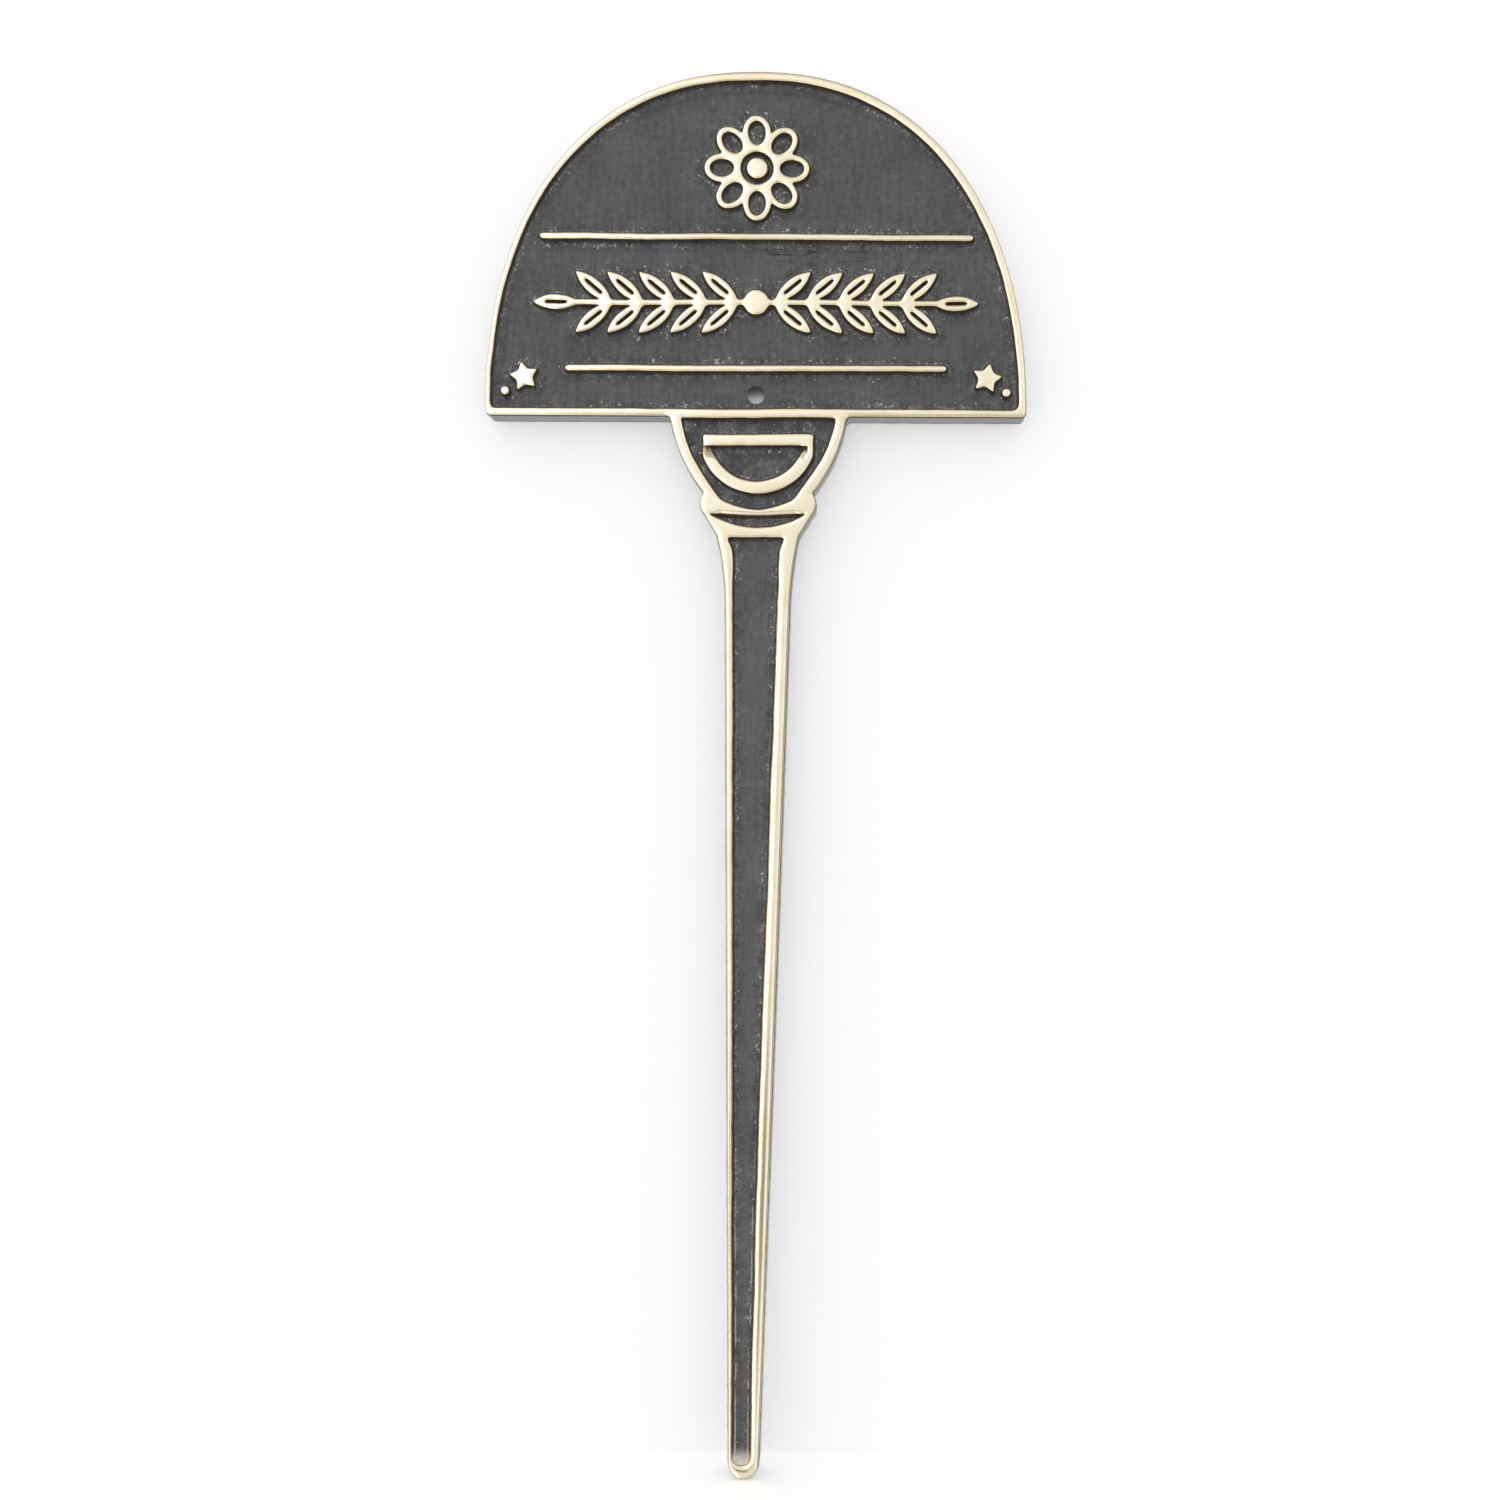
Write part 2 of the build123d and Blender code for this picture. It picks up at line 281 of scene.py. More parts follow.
def roundToe(loop):  # the lowest part of an outline becomes half an ellipse
    near = loop[:, 1] < handwork["toe"]
    middle = (loop[near].min(axis=0) + loop[near].max(axis=0)) / 2
    centre = np.array([middle[0], handwork["toe"]])
    reach = np.ptp(loop[near, 0]) / 2, handwork["toe"] - loop[:, 1].min()
    toward = loop - centre
    stretch = np.maximum(np.hypot(toward[:, 0] / reach[0], toward[:, 1] / reach[1]), 0.5)
    return np.where(near[:, None], centre + toward / stretch[:, None], loop)


frontLoops = sorted(flatLoops("brass_casting", frontDepth), key=lambda loop: np.ptp(loop[:, 1]))
channelLoop = frontLoops[-2]
panelLoop, ringLoop, cupLoop = sorted(frontLoops, key=panelGap)[:3]
poolEdges = EdgeField([handmade(loop) for loop in frontLoops[:-1]])
castLoop = roundToe(smoothLoop(max(flatLoops("brass_casting", 0.0), key=len), handwork["outerSpacing"]))
castEdge = EdgeField([castLoop])
print("outlines:", len(frontLoops) - 1, "recess edges,", len(poolEdges.points), "points")


# The dimple pressed into the field of the plate

dimple = {
    "sunkBy": 0.02,  # what lies deeper than the floor by this is the dimple
    "radiusPerPoint": 0.04,
    "paintShare": 0.96,  # radius of the painted bowl, as a share of the bare one
    "brassRings": (0.3, 0.6, 0.85, 1.0, 1.15),  # shares of the radius
    "paintRings": (0.2, 0.4, 0.6, 0.78, 0.9, 0.97, 1.0, 1.05, 1.12, 1.2),
    "backRings": (0.3, 0.6, 0.85, 1.0),
    "rubbedOut": (0.9, 1.02),  # painted highlight in it, out to here
    "rubbedDown": (-0.75, 0.95),  # strongest at its foot and none at its top, as if lit from above
}


def findDimple():
    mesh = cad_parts["plate_paint"].data
    spots = np.array([vertex.co for vertex in mesh.vertices]) * perMetre
    depth = castHigh[1] - spots[:, 1]
    sunk = spots[depth < floorDepth - dimple["sunkBy"]][:, [0, 2]]
    middle = (sunk.min(axis=0) + sunk.max(axis=0)) / 2
    reach = np.linalg.norm(sunk - middle, axis=1).max()
    fall = floorDepth - depth.min()
    return middle, reach, fall


dimpleMiddle, dimpleReach, dimpleFall = findDimple()
paintDimple = dimpleReach * dimple["paintShare"]


def dimpleRings(reach, shares):  # points on rings about the dimple's middle
    found = [dimpleMiddle[None]]
    for radius in reach * np.array(shares):
        count = max(6, round(radius / dimple["radiusPerPoint"]))
        turn = np.linspace(0, 2 * math.pi, count, endpoint=False)
        found.append(dimpleMiddle + radius * np.stack([np.cos(turn), np.sin(turn)], axis=1))
    return np.vstack(found)


def dimpleDrop(places, reach):  # how far the bowl lies below the surface round it
    ball = (reach**2 + dimpleFall**2) / (2 * dimpleFall)
    gap = np.linalg.norm(places - dimpleMiddle, axis=1)
    bowl = np.sqrt(np.maximum(ball**2 - gap**2, 0)) - (ball - dimpleFall)
    return np.where(gap < reach, np.maximum(bowl, 0), 0), gap


# Meshes

def thinned(places, apart=0.02):  # one point where several nearly meet
    first = np.unique(np.round(places / apart).astype(np.int64), axis=0, return_index=True)[1]
    return places[np.sort(first)]


def rings(edges, offsets, slack=0.015):  # points at set distances from the edges
    found = []
    for offset in offsets:
        ring = edges.points + edges.normals * offset
        found.append(ring[np.abs(edges.distance(ring) - offset) < slack])
    return np.vstack(found)


def lattice(pitch, low, high, seed, uneven=0.4):  # staggered points over a box
    columns = np.arange(math.floor(low[0] / pitch), math.ceil(high[0] / pitch) + 1)
    rows = np.arange(math.floor(low[1] / pitch), math.ceil(high[1] / pitch) + 1)
    x, z = (axis.ravel() for axis in np.meshgrid(columns, rows))
    stagger = 0.5 * (z % 2) + uneven * scatter(x, z, seed)
    return np.stack([x + stagger, z + uneven * scatter(x, z, seed + 1)], axis=1) * pitch


def triangulated(places, runs=()):
    corners = [Vector(place) for place in places.tolist()]
    made = delaunay_2d_cdt(corners, list(runs), [], 0, 1e-7, False)
    return np.array([face for face in made[2] if len(face) == 3])


def openRuns(triangles):  # edges with a triangle on one side only
    runs = set()
    for a, b, c in triangles.tolist():
        runs |= {(a, b), (b, c), (c, a)}
    return sorted(run for run in runs if run[::-1] not in runs)


def withinRuns(triangles, runs):  # the triangles enclosed by runs that have them on their left
    owner, edge = {}, set(runs)
    for i, (a, b, c) in enumerate(triangles.tolist()):
        owner[a, b] = owner[b, c] = owner[c, a] = i
    waiting = [owner[run] for run in runs if run in owner]
    kept = set(waiting)
    while waiting:
        a, b, c = triangles[waiting.pop()].tolist()
        for run in ((a, b), (b, c), (c, a)):
            beside = owner.get(run[::-1])
            if run not in edge and beside is not None and beside not in kept:
                kept.add(beside)
                waiting.append(beside)
    return triangles[sorted(kept)]


def makePiece(node, places, depth, faces, marks, creaseAngle=math.radians(60)):
    spots = np.stack([places[:, 0], castHigh[1] - depth, places[:, 1]], axis=1) / perMetre
    name = "".join(word.capitalize() if i else word for i, word in enumerate(node.split("_")))
    mesh = bpy.data.meshes.new(name)
    mesh.from_pydata(spots.tolist(), [], faces)
    mesh.polygons.foreach_set("use_smooth", [True] * len(mesh.polygons))
    mesh.set_sharp_from_angle(angle=creaseAngle)
    for mark, values in marks.items():
        mesh.attributes.new(mark, "FLOAT", "POINT").data.foreach_set("value", values.astype(np.float32))
    piece = bpy.data.objects.new(name, mesh)
    bpy.context.scene.collection.objects.link(piece)
    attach(piece, "root")
    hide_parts(node)
    print(name, len(mesh.vertices), "points,", len(mesh.polygons), "faces")
    return piece


def closedPiece(node, slot, places, depth, triangles, backDepth, marks, dent=np.zeros((0, 2)), dentDrop=()):
    # walls go straight back from the open edges to a flat back, which may have a dent
    runs = openRuns(triangles)
    rim = sorted({corner for run in runs for corner in run})
    place = {corner: i for i, corner in enumerate(rim)}
    backRuns = [(place[a], place[b]) for a, b in runs]
    backPlaces = np.vstack([places[rim], dent])
    back = withinRuns(triangulated(backPlaces, backRuns), backRuns)
    shift = len(places)
    faces = triangles.tolist()
    faces += [(b, a, shift + place[a], shift + place[b]) for a, b in runs]
    faces += [(shift + c, shift + b, shift + a) for a, b, c in back.tolist()]
    depth = np.concatenate([depth, np.full(len(rim), backDepth), backDepth - np.array(dentDrop)])
    marks = {
        mark: np.concatenate([values, values[rim], np.full(len(dent), values.min())])
        for mark, values in marks.items()
    }
    return makePiece(node, np.vstack([places, backPlaces]), depth, faces, marks)


# Brass casting

brass = {
    "dome": ((0.5, 0.07), (1.15, 0.055)),  # width and fall of the soft polish towards every edge
    "outerRound": (0.28, 0.22),  # the same for the worn outer edge
    "innerRound": (0.22, 0.2),  # and beside a recess
    "wallWidth": 0.22,  # draft of the recess walls
    "stemBlend": 20.0,  # below the top of the channel, where the rims of the stem take their own shape
    "stemFlat": 0.8,  # how much of the dome they lack
    "stemBead": 0.24,  # how far they fall from their middle to their edges
    "leastRim": 0.5,
    "ringWidth": 2.36,  # of the D, under its bar
    "ringSlack": 1.05,
    "tuck": (0.75, 2.6),  # how deep the ring goes under the bar at its inner edge, and over what length
    "tuckReach": (1.1, 0.4),  # how far across the ring it shows, on the left and on the right
    "tuckFade": (0.3, 1.0),  # where in that reach it fades
    "tuckStain": (0.11, 0.06),  # how fast the painted shadow under the bar fades, and its start
    "slotRoll": (0.85, 0.5),  # the rolled edge over the slot of the collar
    "slotDrop": 0.75,  # how far down its sides that goes
    "slotTips": (0.9, 0.75),  # how much of it is lost towards the tips, and from where
    "barAcross": (-0.1, 0.7, 0.2),  # points along the foot of the bar: from here to past the ring, and step
    "barDrops": (-0.02, 0.08, 0.3, 0.7, 1.2, 1.8, 2.4),
    "barClear": 0.03,
    "outerRings": (0.04, 0.1, 0.19, 0.31, 0.46, 0.7, 0.95),
    "poolRings": (-0.24, -0.05, 0, 0.05, 0.12, 0.2, 0.32, 0.52, 0.8),
    "facePitch": 0.8,
    "faceClear": 0.2,  # from the last ring
    "floorPitch": 2.0,
    "floorClear": 0.3,
    "swell": (5.0, 0.012),  # length and height of the polishing waves
}
slotLow, slotHigh = (np.array(corner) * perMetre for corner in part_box("collar_paint"))
slotLoop = min(frontLoops, key=lambda loop: abs(loop - slotLow[[0, 2]]).min(axis=0).sum())
slotEdge = EdgeField([handmade(slotLoop)])


def roundedFall(gap, width, fall):
    return fall * (1 - np.sqrt(1 - (1 - np.clip(gap / width, 0, 1)) ** 2))


def domedFall(gap, width, fall):
    return fall * (1 - np.clip(gap / width, 0, 1)) ** 2


def belowBar(places):  # distance below the bar of the D, for places on its ring
    below, inner = panelHigh[1] - places[:, 1], panelHalf * handwork["panel"][0]
    rightward = places[:, 0] - panelMiddle
    share = (np.abs(rightward) - inner) / brass["ringWidth"]
    onRing = (below > 0) & (np.abs(share) < brass["ringSlack"])
    share /= np.where(rightward < 0, *brass["tuckReach"])
    return np.where(onRing, below + brass["tuck"][1] * eased(share, *brass["tuckFade"]), farAway)


def aboveSlot(places):  # distance above the slot of the collar, growing towards its two tips
    half = (slotHigh[0] - slotLow[0]) / 2
    across = np.abs(places[:, 0] - slotLow[0] - half) / half
    above = (across < 1) & (places[:, 1] > slotHigh[2] - brass["slotDrop"])
    lost, start = brass["slotTips"]
    return np.where(above, slotEdge.distance(places) + lost * eased(across, start, 1), farAway)


def brassDepth(places, pool, edge):
    top = frontDepth - roundedFall(pool, *brass["innerRound"]) - roundedFall(edge, *brass["outerRound"])
    onStem = 1 - eased(places[:, 1], poolHigh[2] - brass["stemBlend"], poolHigh[2])
    for width, fall in brass["dome"]:
        top -= domedFall(np.minimum(pool, edge), width, fall) * (1 - brass["stemFlat"] * onStem)
    size, height = brass["swell"]
    top -= height * (1 + ripple(places, size, 3)) / 2
    offMiddle = (pool - edge) / np.maximum(pool + edge, brass["leastRim"])
    top -= brass["stemBead"] * onStem * offMiddle**2 * (pool > 0)
    fall, length = brass["tuck"]
    top -= fall * (1 - eased(belowBar(places), 0, length))
    top -= domedFall(aboveSlot(places), *brass["slotRoll"])
    climb = np.clip(1 + pool / brass["wallWidth"], 0, 1)
    floor = floorDepth - dimpleDrop(places, dimpleReach)[0]
    return np.where(pool < 0, floor + (top - floor) * climb, top)


def barEdge():  # points along the line where the ring of the D goes under its bar, and below it
    start, past, step = brass["barAcross"]
    across = panelHalf + np.arange(start, brass["ringWidth"] + past, step)
    x = np.concatenate([panelMiddle - across, panelMiddle + across])
    lines = [np.full(len(x), panelHigh[1] - drop) for drop in brass["barDrops"]]
    return np.vstack([np.stack([x, z], axis=1) for z in lines])


def buildBrass():
    face = lattice(brass["facePitch"], castLow[[0, 2]], castHigh[[0, 2]], 1)
    floor = lattice(brass["floorPitch"], castLow[[0, 2]], castHigh[[0, 2]], 2)
    step = barEdge()
    places = np.vstack([
        castEdge.points,
        rings(castEdge, brass["outerRings"]),
        rings(poolEdges, brass["poolRings"]),
        step[poolEdges.distance(step) > brass["barClear"]],
        dimpleRings(dimpleReach, dimple["brassRings"]),
        face[poolEdges.distance(face) > brass["poolRings"][-1] + brass["faceClear"]],
        floor[poolEdges.distance(floor) < brass["poolRings"][0] - brass["floorClear"]],
    ])
    places = thinned(places[castEdge.distance(places) > -1e-6])
    triangles = triangulated(places)
    triangles = triangles[castEdge.distance(places[triangles].mean(axis=1)) > 0]
    pool, edge = poolEdges.distance(places), castEdge.distance(places)
    depth = brassDepth(places, pool, edge)
    fade, start = brass["tuckStain"]
    # on the brass, poolGap also carries the painted shadow under the bar of the D
    marks = {"poolGap": np.minimum(pool, fade * belowBar(places) - start), "edgeGap": edge}
    return closedPiece("brass_casting", "polished_brass", places, depth, triangles, 0.0, marks)


brassCasting = buildBrass()


# Paint in the recesses

paint = {
    "climb": (  # how the paint rises up a wall: place and height
        (-0.7, 0), (-0.45, 0.02), (-0.31, 0.07), (-0.22, 0.18), (-0.14, 0.36), (-0.07, 0.53), (0.04, 0.57)
    ),
    "lineWaver": (3.0, 0.05),  # length and reach of the uneven paint line
    "floorPitch": 0.36,
    "floorClear": 0.1,  # of the foot of a wall
    "outerClear": 0.1,  # of the outer edge
    "dimpleClear": 0.4,
    "swell": (7.0, 0.05),
    "grain": (1.1, 0.035),
    "pits": (2.4, 0.45, 0.4, 30, -0.16),  # pitch, reach, share of cells, seed and height
    "lumps": (1.6, 0.42, 0.4, 40, 0.15),
    "edgeReach": 1.6,  # how far the rough casting spreads from raised work
    "farGrain": 0.5,  # what is left of the grain far from it
    "spotLevels": (0.25, 1.5),  # of pits and lumps: everywhere, and added beside raised work
    "wallSmooth": (0.1, 0.3),  # no roughness this near to a wall, and over what width it starts
    "dimpleSmooth": (0.05, 0.5),  # the same round the dimple
    "crownLedge": (3.42, 0.13, 0.08),  # a step along the crown: its place, width and height
    "crownDrops": (16.0, 7.0),  # below the top, where it starts and where it is full
    "ledgeClear": 0.3,
    "hollow": (13.5, 45.0, 1.7, 0.2),  # the foot of the channel: hollow up to here, none here, width and rise
    "ramp": (7.0, 0.5, 1.5),  # and climbs to its end: length, height and steepness
    "dimpleLip": (0.05, 0.12),  # height and width
    "sunk": 0.04,  # how far the back of a film lies in the metal
}


def paintDepth(places, pool, edge):
    offsets, heights = (np.array(column) for column in zip(*paint["climb"]))
    rise = np.interp(pool, offsets, heights)
    size, reach = paint["lineWaver"]
    rise *= 1 + reach / heights[-1] * ripple(places, size, 5)
    place, width, height = paint["crownLedge"]
    nearTop = eased(places[:, 1], *(castHigh[2] - drop for drop in paint["crownDrops"]))
    rise += height * nearTop * (1 - eased(edge, place, place + width)) * (pool < -paint["ledgeClear"])
    full, none, width, height = paint["hollow"]
    rise += height * (1 - eased(places[:, 1], full, none)) * np.clip(1 + pool / width, 0, 1) ** 2
    length, height, steepness = paint["ramp"]
    rise += height * (1 - np.clip((places[:, 1] - poolLow[2]) / length, 0, 1)) ** steepness
    near = np.exp(np.minimum(pool, 0) / paint["edgeReach"])
    rough = paint["swell"][1] * ripple(places, paint["swell"][0], 6)
    rough += paint["grain"][1] * ripple(places, paint["grain"][0], 7) * (paint["farGrain"] + near)
    everywhere, beside = paint["spotLevels"]
    for *cells, height in (paint["pits"], paint["lumps"]):
        rough += height * pock(places, *cells) * (everywhere + beside * near)
    drop, gap = dimpleDrop(places, paintDimple)
    start, width = paint["wallSmooth"]
    settled = np.clip((-start - pool) / width, 0, 1)
    settled *= eased(gap - paintDimple, *paint["dimpleSmooth"])
    height, width = paint["dimpleLip"]
    rise += height * np.exp(-((gap - paintDimple - width) / width) ** 2)
    return filmDepth + np.minimum(rise, heights[-1] + reach) + rough * settled - drop


def buildPaints():
    nodes = sorted(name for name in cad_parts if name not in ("brass_casting", "edge_and_back_paint"))
    outer = paint["climb"][-1][0]
    floor = lattice(paint["floorPitch"], castLow[[0, 2]], castHigh[[0, 2]], 3)
    floor = floor[np.linalg.norm(floor - dimpleMiddle, axis=1) > paintDimple + paint["dimpleClear"]]
    place, width, _ = paint["crownLedge"]
    ledge = rings(castEdge, (place, place + width))
    floor = np.vstack([floor, ledge[ledge[:, 1] > castHigh[2] - paint["crownDrops"][0]]])
    floor = floor[poolEdges.distance(floor) < paint["climb"][0][0] - paint["floorClear"]]
    bowl = dimpleRings(paintDimple, dimple["paintRings"])
    places = thinned(np.vstack([rings(poolEdges, [offset for offset, _ in paint["climb"]]), bowl, floor]))
    places = places[castEdge.distance(places) > paint["outerClear"]]
    triangles = triangulated(places)
    middles = places[triangles].mean(axis=1)
    inPool = poolEdges.distance(middles) < outer - 2 * levelSlack
    triangles = triangles[inPool & (castEdge.distance(middles) > paint["outerClear"])]
    pool = poolEdges.distance(places)
    depth = paintDepth(places, pool, castEdge.distance(places))
    owner = poolOwners(places, triangles, pool, nodes)
    dent = dimpleRings(dimpleReach, dimple["backRings"])
    # painted highlight in the dimple: light on its lower wall, dark on its upper one
    outward = (places - dimpleMiddle) / paintDimple
    rubbed = 1 - eased(np.linalg.norm(outward, axis=1), *dimple["rubbedOut"])
    rubbed *= eased(-outward[:, 1], *dimple["rubbedDown"])
    pieces = {}
    for i, node in enumerate(nodes):
        own = triangles[owner == i]
        used, own = np.unique(own, return_inverse=True)
        backDents = (dent, dimpleDrop(dent, dimpleReach)[0]) if node == "plate_paint" else ()
        pieces[node] = closedPiece(
            node, "black_paint", places[used], depth[used], own.reshape(-1, 3),
            floorDepth - paint["sunk"], {"poolGap": pool[used], "rubbed": rubbed[used]}, *backDents,
        )
    return pieces


def poolOwners(places, triangles, pool, nodes):  # which node's recess each triangle lies in
    group = np.arange(len(places))
    settled = False
    while not settled:  # joined triangles come to share their lowest number
        low = group[triangles].min(axis=1)
        before = group.copy()
        for column in range(3):
            np.minimum.at(group, triangles[:, column], low)
        group = group[group]
        settled = (group == before).all()
    owner = {}
    for root in np.unique(group[triangles[:, 0]]):
        members = np.flatnonzero(group == root)
        deepest = places[members[pool[members].argmin()]]
        probe = Vector((deepest[0], castLow[1], deepest[1])) / perMetre
        hits = [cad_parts[node].ray_cast(probe, Vector((0, 1, 0))) for node in nodes]
        owner[root] = min(range(len(nodes)), key=lambda i: hits[i][1].y if hits[i][0] else 1e9)
    return np.array([owner[root] for root in group[triangles[:, 0]]])


paintPieces = buildPaints()


# Coat on the sides and the back

coat = {
    "spacing": 0.5,
    "sideSteps": 9,
    "lipRound": 0.1,
    "lipInset": 0.3,  # as a share of its thickness
    "backRound": 0.3,
    "roundTurns": (30, 60, 90),
    "inside": 0.06,  # how far its hidden face lies in the metal
    "backPitch": 0.7,
    "backClear": 0.35,  # of the edge of the back
    "grainShift": 3.1,  # moves the grain along from one depth to the next
    "rubbedBack": (0.2, 0.8),  # painted sheen on its sides from these depths
    "rubbedLip": (-0.55, -0.2),  # to these behind its front edge
    "noRecess": -5.0,  # stands for a place far from every recess
    "grain": (0.9, 0.035),
    "swell": (8.0, 0.05),
}


def buildCoat():
    loop = roundToe(smoothLoop(max(flatLoops("edge_and_back_paint", coatDepth), key=len), coat["spacing"]))
    inward, count = leftOf(loop), len(loop)
    hidden = -coatDepth + coat["inside"]
    inset = [hidden, hidden, coat["lipInset"] * hidden, 0.0]
    depth = [coat["inside"], lipDepth, lipDepth, lipDepth - coat["lipRound"]]
    for step in range(1, coat["sideSteps"] + 1):
        inset.append(0.0)
        depth.append(depth[3] + (coatDepth + coat["backRound"] - depth[3]) * step / coat["sideSteps"])
    for turn in (math.radians(turn) for turn in coat["roundTurns"]):
        inset.append(coat["backRound"] * (1 - math.cos(turn)))
        depth.append(coatDepth + coat["backRound"] * (1 - math.sin(turn)))
    places, depths = [], []
    for step, (gap, level) in enumerate(zip(inset, depth)):
        along = loop + level * coat["grainShift"]
        grain = coat["grain"][1] * (1 + ripple(along, coat["grain"][0], 60 + step % 3))
        gap = gap + (grain if 2 < step < len(inset) - 1 else 0)
        places.append(loop + inward * np.reshape(gap, (-1, 1)))
        depths.append(np.full(count, level))
    low, high = coatLow[[0, 2]], coatHigh[[0, 2]]
    grid = lattice(coat["backPitch"], low, high, 4)
    grid = grid[EdgeField([places[-1]]).distance(grid) > coat["backClear"]]
    rough = coat["swell"][1] * (1 + ripple(grid, coat["swell"][0], 8)) / 2
    rough += coat["grain"][1] * (1 + ripple(grid, coat["grain"][0], 9)) / 2
    turns = list(zip(range(count), [*range(1, count), 0]))
    faces = []
    for step in range(len(places) - 1):
        near, far = step * count, (step + 1) * count
        faces += [(near + a, far + a, far + b, near + b) for a, b in turns]
    inner = withinRuns(triangulated(places[0], turns), turns)
    faces += inner.tolist()
    last = (len(places) - 1) * count
    outer = withinRuns(triangulated(np.vstack([places[-1], grid]), turns), turns)
    faces += (last + outer[:, ::-1]).tolist()
    places = np.vstack([*places, grid])
    depths = np.concatenate([*depths, coatDepth + rough])
    # painted sheen on the sides
    rubbed = eased(depths, *coat["rubbedBack"]) * (1 - eased(depths - lipDepth, *coat["rubbedLip"]))
    marks = {"poolGap": np.full(len(places), coat["noRecess"]), "rubbed": rubbed}
    return makePiece("edge_and_back_paint", places, depths, faces, marks)


paintPieces["edge_and_back_paint"] = buildCoat()


# Finishes

class Wire:  # a node's output; sums and products of wires add Math nodes
    def __init__(self, tree, socket=None):
        self.tree, self.socket = tree, socket

    def node(self, kind, settings, inputs, out=0):
        made = self.tree.nodes.new(kind)
        for name, value in settings.items():
            if name == "stops":
                for stop, (place, colour) in zip(self.rampStops(made, len(value)), value):
                    stop.position, stop.color = place, (*colour, 1)
            else:
                setattr(made, name, value)
        for name, value in inputs.items():
            if isinstance(value, Wire):
                self.tree.links.new(value.socket, made.inputs[name])
            else:
                made.inputs[name].default_value = value
        return Wire(self.tree, made.outputs[out]) if made.outputs else made

    def rampStops(self, ramp, count):
        while len(ramp.color_ramp.elements) < count:
            ramp.color_ramp.elements.new(0.5)
        return ramp.color_ramp.elements

    def maths(self, operation, first, second):
        return self.node("ShaderNodeMath", {"operation": operation}, {0: first, 1: second})

    def __add__(self, other):
        return self.maths("ADD", self, other)

    def __radd__(self, other):
        return self.maths("ADD", other, self)

    def __sub__(self, other):
        return self.maths("SUBTRACT", self, other)

    def __rsub__(self, other):
        return self.maths("SUBTRACT", other, self)

    def __mul__(self, other):
        return self.maths("MULTIPLY", self, other)

    def __rmul__(self, other):
        return self.maths("MULTIPLY", other, self)

    def between(self, low, high):  # 0 at low, 1 at high, smooth between and held outside
        return self.node(
            "ShaderNodeMapRange", {"interpolation_type": "SMOOTHSTEP"},
            {"Value": self, "From Min": low, "From Max": high},
        )

    def within(self, start, full, fade, end):  # 1 between full and fade, 0 before start and after end
        return self.between(start, full) * (1 - self.between(fade, end))

    def blend(self, first, second):  # a colour that goes from first to second
        return self.node(
            "ShaderNodeMix", {"data_type": "RGBA"}, {"Factor": self, 6: first, 7: second}, out=2
        )

    def stretched(self, x, y, z):
        return self.node("ShaderNodeVectorMath", {"operation": "MULTIPLY"}, {0: self, 1: (x, y, z)})

    def grain(self, size, detail=2.0, rough=0.5):  # noise about this many millimetres long
        scale = perMetre / size
        return self.node(
            "ShaderNodeTexNoise", {}, {"Vector": self, "Scale": scale, "Detail": detail, "Roughness": rough}
        )

    def cells(self, size, out):
        return self.node("ShaderNodeTexVoronoi", {}, {"Vector": self, "Scale": perMetre / size}, out=out)

    def axis(self, name):
        return self.node("ShaderNodeSeparateXYZ", {}, {0: self}, out=name)

    def attribute(self, name):
        return self.node("ShaderNodeAttribute", {"attribute_name": name}, {}, out="Fac")


def startMaterial(name):
    material = bpy.data.materials.new(name)
    material.use_nodes = True
    material.node_tree.nodes.clear()
    wire = Wire(material.node_tree)
    return material, wire, wire.node("ShaderNodeTexCoord", {}, {}, out="Object")


def finishMaterial(wire, inputs):
    shader = wire.node("ShaderNodeBsdfPrincipled", {}, inputs)
    wire.node("ShaderNodeOutputMaterial", {}, {"Surface": shader})


polish = {
    "bright": (0.92, 0.84, 0.65, 1),
    "warm": (0.74, 0.56, 0.28, 1),  # tan: painted shade on the rounded edges, and real tarnish
    "stain": (0.13, 0.075, 0.03, 1),  # brown: painted dark reflection of the paint along each recess, painted shadow under the bar of the D, and the colour of pits
    "roughness": 0.15,
    "cloudSize": 7.0,  # grains in millimetres
    "fineSize": 0.7,
    "drawnSize": 0.5,  # of the polishing lines, which run across
    "drawnStretch": 0.05,
    "pitSize": 6.0,
    "stainEdge": (-0.02, 0.09),  # millimetres from a recess
    "stainWaver": 0.12,
    "recessTarnish": (0.03, 0.3),
    "outerTarnish": (0.02, 0.3),  # millimetres from the outer edge
    "cleanSide": (-0.045, -0.02),  # metres across: painted light, the brass left of this is kept bright, with little tarnish or edge shade
    "wipedEnd": (0.0028, 0.006),  # metres up: no painted shade at the end of the channel
}


